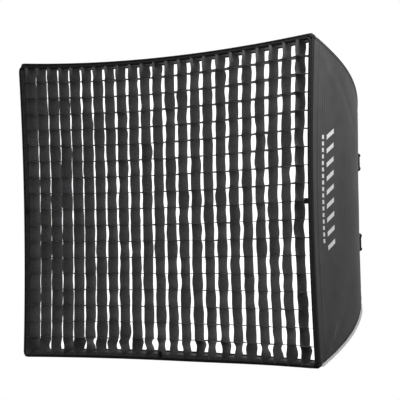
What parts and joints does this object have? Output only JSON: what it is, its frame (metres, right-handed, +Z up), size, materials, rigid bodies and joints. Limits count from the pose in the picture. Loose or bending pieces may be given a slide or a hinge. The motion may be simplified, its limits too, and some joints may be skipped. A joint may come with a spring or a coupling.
{
  "type": "rectangular softbox",
  "caption": "Rectangular fabric softbox with a flared black shell on curved rods, silver lining, inner and front diffusers, an egg-crate grid and a metal frame that latches on a panel lamp.",
  "frame": {"origin": "centre of the mounting frame's rear face, where the lamp seats", "axes": "+Y towards the lamp, the lit front faces -Y, +X to the right seen from the front, +Z up"},
  "size_m": [1.2196, 0.524, 0.9146],
  "materials": {
    "shell_nylon": "matt coated nylon",
    "silver_lining": "crinkled silver-coated nylon",
    "black_webbing": "woven webbing",
    "loop_webbing": "hook and loop tape",
    "grid_nylon": "matt nylon strip",
    "white_cloth": "translucent white diffusion cloth",
    "frame_black": "satin black anodised",
    "bright_steel": "zinc plated",
    "spring_rod": "drawn spring steel",
    "rod_tip": "moulded rubber"
  },
  "bodies": {
    "shell": {"frame_rail_top": "frame_black", "frame_rail_bottom": "frame_black", "frame_rail_left": "frame_black", "frame_rail_right": "frame_black", "corner_casting_tl": "frame_black", "corner_casting_tr": "frame_black", "corner_casting_bl": "frame_black", "corner_casting_br": "frame_black", "rail_screws": "bright_steel", "socket_screws": "bright_steel", "safety_lug": "frame_black", "lug_screws": "bright_steel", "latch_brackets": "frame_black", "bracket_screws": "bright_steel", "latch_posts": "bright_steel", "rod_tl": "spring_rod", "rod_tr": "spring_rod", "rod_bl": "spring_rod", "rod_br": "spring_rod", "rod_ferrules": "bright_steel", "rod_tips": "rod_tip", "shell_top": "shell_nylon", "shell_bottom": "shell_nylon", "shell_left": "shell_nylon", "shell_right": "shell_nylon", "lining_top": "silver_lining", "lining_bottom": "silver_lining", "lining_left": "silver_lining", "lining_right": "silver_lining", "rod_sleeve_tl": "black_webbing", "rod_sleeve_tr": "black_webbing", "rod_sleeve_bl": "black_webbing", "rod_sleeve_br": "black_webbing", "corner_pocket_tl": "black_webbing", "corner_pocket_tr": "black_webbing", "corner_pocket_bl": "black_webbing", "corner_pocket_br": "black_webbing", "front_hem_top": "loop_webbing", "front_hem_bottom": "loop_webbing", "front_hem_left": "loop_webbing", "front_hem_right": "loop_webbing", "rear_hem": "black_webbing", "baffle_loops": "loop_webbing"},
    "inner_baffle": {"baffle_cloth": "white_cloth", "baffle_binding": "black_webbing", "baffle_tabs": "black_webbing"},
    "front_diffuser": {"diffuser_cloth": "white_cloth", "diffuser_hook_tape": "loop_webbing"},
    "grid": {"grid_lattice": "grid_nylon", "grid_border": "black_webbing", "grid_hook_tape": "loop_webbing", "grid_pull_tabs": "black_webbing"},
    "latch_tl": {"latch_tl": "frame_black"},
    "latch_tr": {"latch_tr": "frame_black"},
    "latch_bl": {"latch_bl": "frame_black"},
    "latch_br": {"latch_br": "frame_black"}
  },
  "joints": [
    {"name": "baffle_release", "type": "slide", "parent": "shell", "child": "inner_baffle", "axis": [0, -1, 0], "range_m": [0, 0.25]},
    {"name": "diffuser_release", "type": "slide", "parent": "inner_baffle", "child": "front_diffuser", "axis": [0, -1, 0], "range_m": [0, 0.12]},
    {"name": "grid_release", "type": "slide", "parent": "front_diffuser", "child": "grid", "axis": [0, -1, 0], "range_m": [0, 0.12]},
    {"name": "latch_tl_swing", "type": "hinge", "parent": "shell", "child": "latch_tl", "pos_m": [-0.3395, 0.016, 0.1], "axis": [0, 1, 0], "range_deg": [0, 90]},
    {"name": "latch_tr_swing", "type": "hinge", "parent": "shell", "child": "latch_tr", "pos_m": [0.3395, 0.016, 0.1], "axis": [0, -1, 0], "range_deg": [0, 90]},
    {"name": "latch_bl_swing", "type": "hinge", "parent": "shell", "child": "latch_bl", "pos_m": [-0.3395, 0.016, -0.1], "axis": [0, -1, 0], "range_deg": [0, 90]},
    {"name": "latch_br_swing", "type": "hinge", "parent": "shell", "child": "latch_br", "pos_m": [0.3395, 0.016, -0.1], "axis": [0, 1, 0], "range_deg": [0, 90]}
  ]
}
